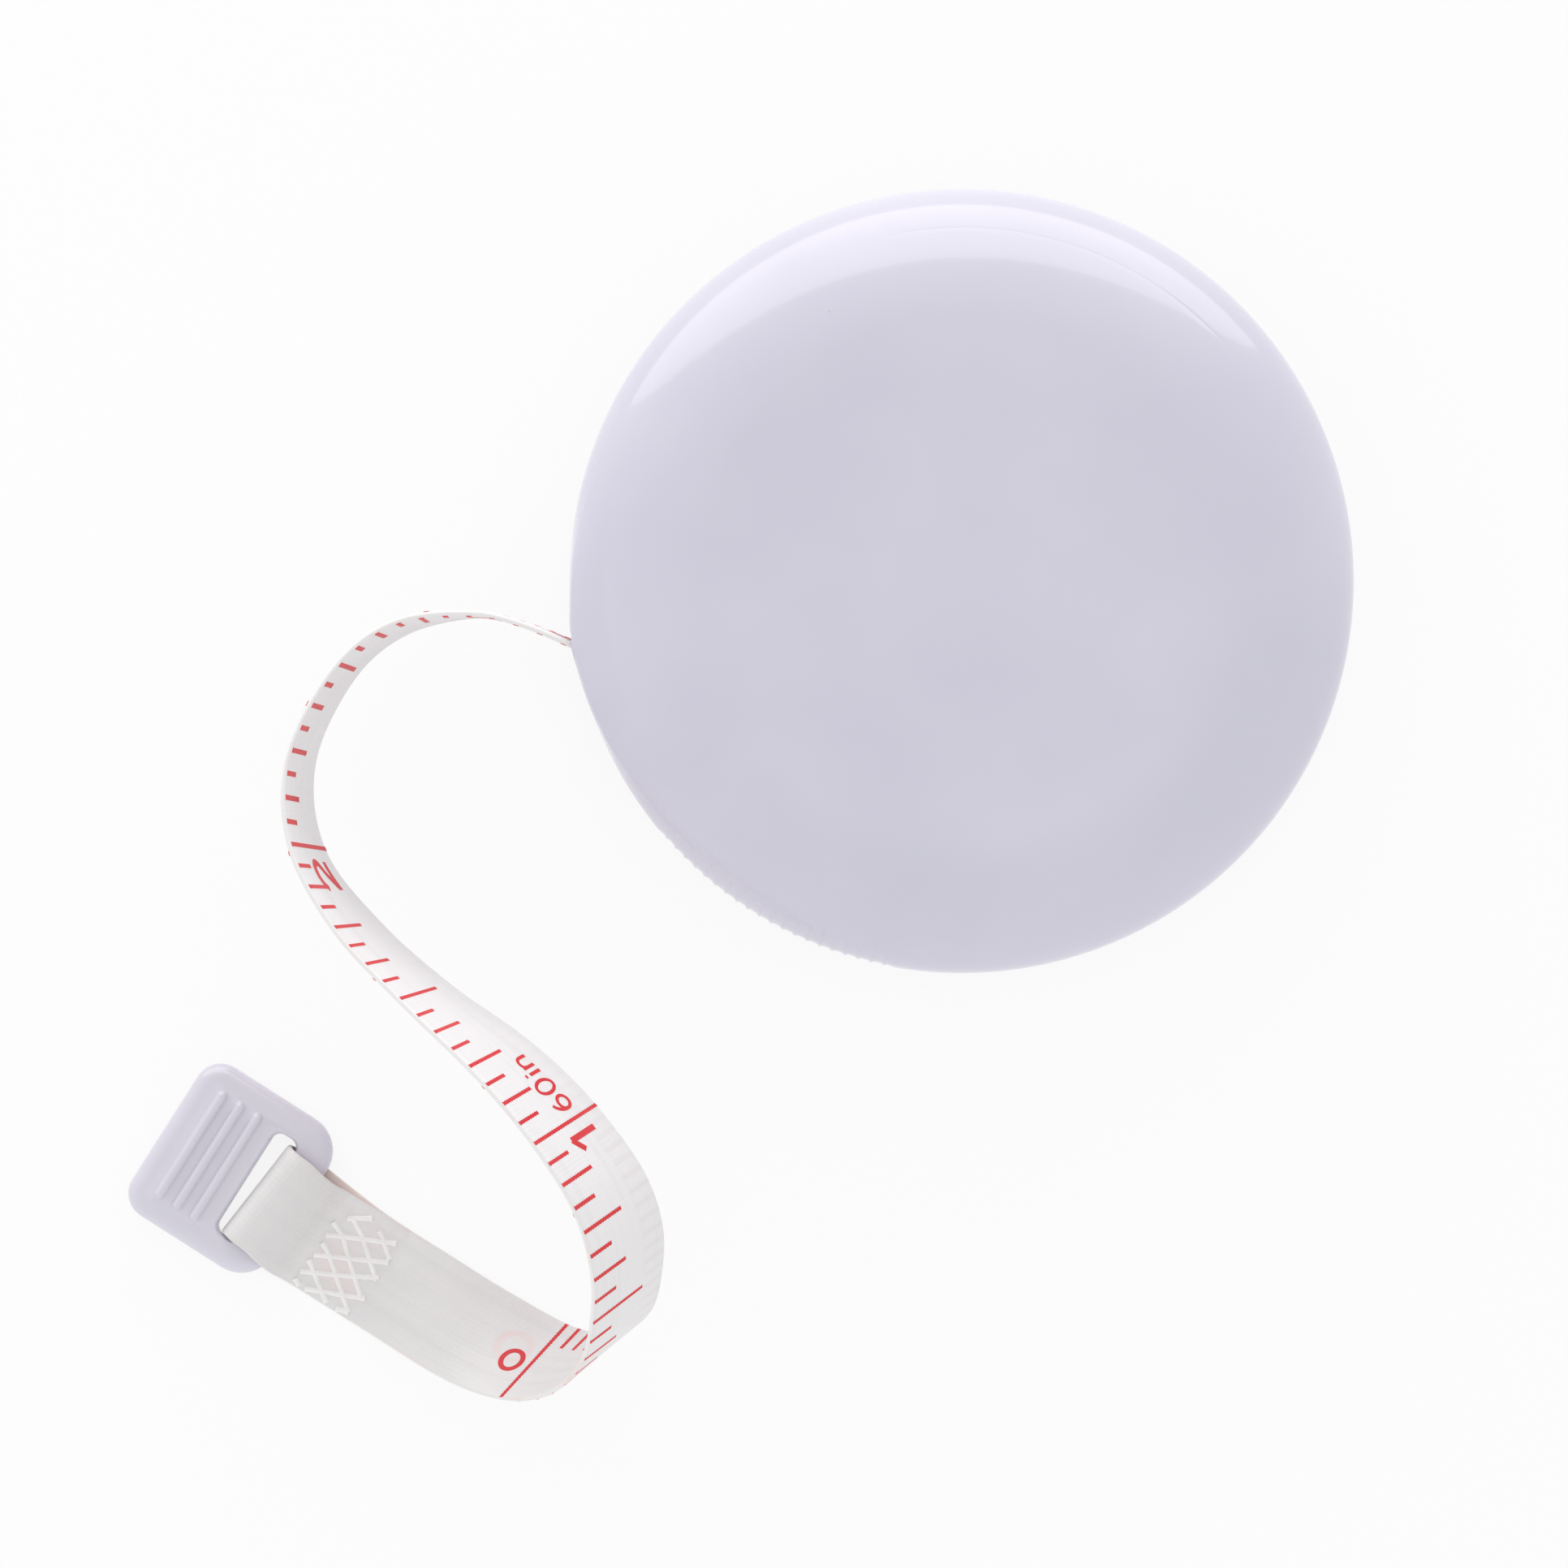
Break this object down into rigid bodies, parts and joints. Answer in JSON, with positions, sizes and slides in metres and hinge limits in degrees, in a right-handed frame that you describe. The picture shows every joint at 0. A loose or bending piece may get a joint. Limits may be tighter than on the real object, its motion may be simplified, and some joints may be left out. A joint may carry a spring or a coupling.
{
  "type": "cloth tape measure",
  "caption": "Round retractable cloth tape measure with a spring reel, a release button and a slotted pull tab on the printed tape.",
  "frame": {"origin": "on the case's axis, at the level of the surface that the case stands on", "axes": "+Z out of the plain face, away from the button; the tape leaves the case at 154 degrees from +X"},
  "size_m": [0.0811, 0.08, 0.0153],
  "materials": {
    "case_plastic": "glossy moulded",
    "tab_plastic": "satin moulded",
    "tape_cloth": "coated cloth with a red scale",
    "reel_plastic": "moulded",
    "spring_steel": "rolled",
    "brake_rubber": "matt"
  },
  "bodies": {
    "case": {"case_back": "case_plastic", "case_front": "case_plastic", "spring_arbor": "reel_plastic", "button_spring": "spring_steel"},
    "reel": {"reel_drum": "reel_plastic", "reel_flange": "reel_plastic", "spring_plate": "spring_steel", "mainspring": "spring_steel", "tape_pin": "spring_steel", "tape_coil": "tape_cloth"},
    "tape": {"tape_free": "tape_cloth"},
    "tab": {"end_tab": "tab_plastic"},
    "button": {"push_button": "case_plastic", "brake_ring": "brake_rubber"}
  },
  "joints": [
    {"name": "reel_spin", "type": "hinge", "parent": "case", "child": "reel", "pos_m": [0, 0, 0.0065], "axis": [0, 0, -1], "range_deg": [0, 67], "deforming": ["mainspring"]},
    {"name": "tape_pull", "type": "slide", "parent": "case", "child": "tape", "axis": [-0.8988, 0.4384, 0], "range_m": [0, 0.018]},
    {"name": "tab_swing", "type": "hinge", "parent": "tape", "child": "tab", "pos_m": [-0.04508, -0.04123, 0.0013], "axis": [0.5373, 0.8434, 0], "range_deg": [0, 100], "deforming": ["tape_free"]},
    {"name": "button_press", "type": "slide", "parent": "case", "child": "button", "axis": [0, 0, 1], "range_m": [0, 0.0008], "stiffness_N_per_m": 600, "springref_m": -0.001, "deforming": ["button_spring"]}
  ],
  "couplings": [
    {"joint": "tape_pull", "follows": "reel_spin", "m_per_rad": 0.01535}
  ]
}
